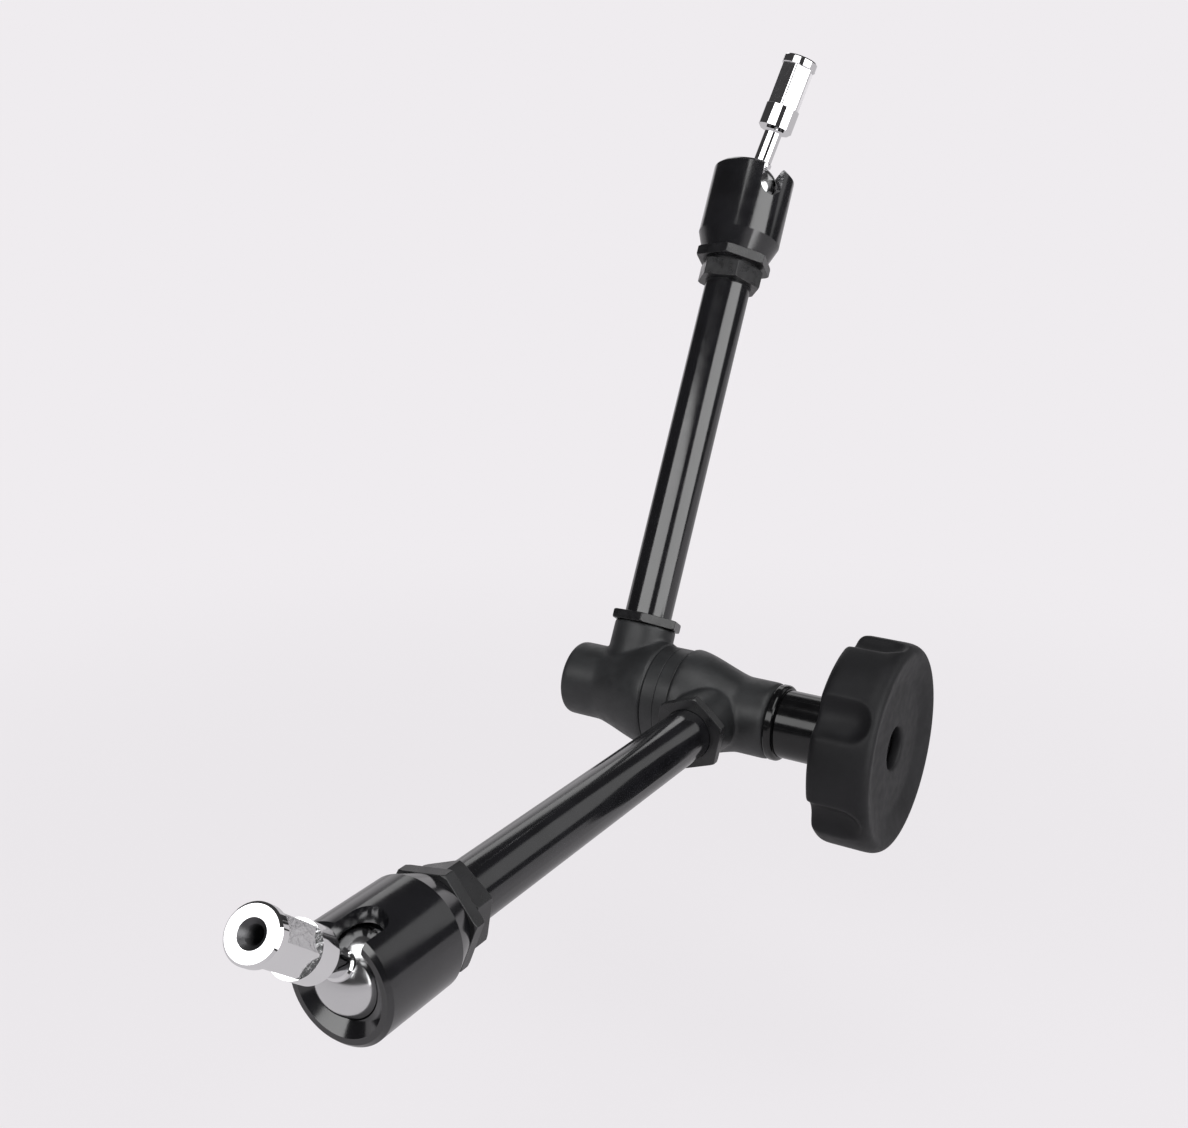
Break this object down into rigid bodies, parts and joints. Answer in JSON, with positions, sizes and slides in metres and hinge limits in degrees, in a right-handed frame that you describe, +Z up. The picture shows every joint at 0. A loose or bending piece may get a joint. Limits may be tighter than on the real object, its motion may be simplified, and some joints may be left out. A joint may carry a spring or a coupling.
{
  "type": "articulating friction arm",
  "caption": "Two-section friction arm with a central knob-locked elbow and a ball-mounted bright spigot in a slotted cup at each end.",
  "frame": {"origin": "on the axis of the lower spigot's threaded hole, where its thread begins at the foot of the countersink", "axes": "+X along the elbow spindle towards the knob, -Y along the lower arm from the elbow to its ball, +Z up as the picture shows the arm"},
  "size_m": [0.1512, 0.4096, 0.3137],
  "materials": {
    "chrome_spigot": "bright chrome plate",
    "steel_ball": "polished steel",
    "black_anodised": "black anodised, satin gloss",
    "black_nut": "blackened steel",
    "black_casting": "fine powder coat",
    "gloss_collar": "gloss black",
    "rubber_knob": "soft matt moulding",
    "plain_steel": "turned steel",
    "light_rod": "drawn"
  },
  "bodies": {
    "lower_mount": {"lower_spigot": "chrome_spigot"},
    "lower_ball_body": {"lower_ball": "steel_ball"},
    "lower_pad_body": {"lower_pressure_pad": "plain_steel"},
    "lower_arm": {"lower_cup": "black_anodised", "lower_lock_nut": "black_nut", "lower_end_fitting": "black_nut", "lower_tube": "black_anodised", "lower_flange_nut": "black_nut", "lower_elbow_housing": "black_casting", "lower_friction_ring": "black_casting"},
    "lower_rod": {"lower_push_rod": "light_rod"},
    "clamp_collar": {"lower_cone": "plain_steel", "thrust_washer": "gloss_collar", "knob_collar": "gloss_collar"},
    "knob_body": {"knob": "rubber_knob", "knob_insert": "black_nut"},
    "upper_arm": {"upper_cup": "black_anodised", "upper_lock_nut": "black_nut", "upper_end_fitting": "black_nut", "upper_tube": "black_anodised", "upper_flange_nut": "black_nut", "upper_elbow_housing": "black_casting", "upper_friction_ring": "black_casting"},
    "bolt_body": {"draw_bolt": "plain_steel", "upper_cone": "plain_steel"},
    "upper_rod": {"upper_push_rod": "light_rod"},
    "upper_pad_body": {"upper_pressure_pad": "plain_steel"},
    "upper_ball_body": {"upper_ball": "steel_ball"},
    "upper_mount": {"upper_spigot": "chrome_spigot"}
  },
  "joints": [
    {"name": "lower_spigot_spin", "type": "hinge", "parent": "lower_mount", "child": "lower_ball_body", "pos_m": [-0.00885, 0.04688, -0.03833], "axis": [-0.1446, 0.766, -0.6263], "continuous": true},
    {"name": "lower_ball_lean", "type": "hinge", "parent": "lower_ball_body", "child": "lower_pad_body", "pos_m": [-0.00885, 0.04688, -0.03833], "axis": [0.9744, 0, -0.225], "range_deg": [-80, 50]},
    {"name": "lower_ball_swivel", "type": "hinge", "parent": "lower_pad_body", "child": "lower_arm", "pos_m": [-0.00885, 0.04688, -0.03833], "axis": [0, -1, 0], "range_deg": [0, 360]},
    {"name": "elbow_fold", "type": "hinge", "parent": "lower_arm", "child": "upper_arm", "pos_m": [-0.00885, 0.28008, -0.03833], "axis": [1, 0, 0], "continuous": true},
    {"name": "collar_slide", "type": "slide", "parent": "lower_arm", "child": "clamp_collar", "axis": [1, 0, 0], "range_m": [0, 0.00112]},
    {"name": "knob_turn", "type": "hinge", "parent": "clamp_collar", "child": "knob_body", "pos_m": [0.05715, 0.28008, -0.03833], "axis": [1, 0, 0], "range_deg": [0, 540]},
    {"name": "bolt_slide", "type": "slide", "parent": "upper_arm", "child": "bolt_body", "axis": [-1, 0, 0], "range_m": [0, 0.00112]},
    {"name": "lower_rod_slide", "type": "slide", "parent": "lower_arm", "child": "lower_rod", "axis": [0, 1, 0], "range_m": [0, 0.0005009]},
    {"name": "upper_rod_slide", "type": "slide", "parent": "upper_arm", "child": "upper_rod", "axis": [0, -0.4305, -0.9026], "range_m": [0, 0.0005009]},
    {"name": "upper_ball_swivel", "type": "hinge", "parent": "upper_arm", "child": "upper_pad_body", "pos_m": [-0.05315, 0.38048, 0.17215], "axis": [0, 0.4305, 0.9026], "range_deg": [0, 360]},
    {"name": "upper_ball_lean", "type": "hinge", "parent": "upper_pad_body", "child": "upper_ball_body", "pos_m": [-0.05315, 0.38048, 0.17215], "axis": [0.5878, 0.7302, -0.3483], "range_deg": [-57, 73]},
    {"name": "upper_spigot_spin", "type": "hinge", "parent": "upper_ball_body", "child": "upper_mount", "pos_m": [-0.05315, 0.38048, 0.17215], "axis": [0.2365, 0.2566, 0.9371], "continuous": true}
  ],
  "couplings": [
    {"joint": "collar_slide", "follows": "knob_turn", "m_per_rad": 0.00011937},
    {"joint": "bolt_slide", "follows": "knob_turn", "m_per_rad": 0.00011937},
    {"joint": "lower_rod_slide", "follows": "knob_turn", "m_per_rad": 0.000053145},
    {"joint": "upper_rod_slide", "follows": "knob_turn", "m_per_rad": 0.000053145}
  ]
}
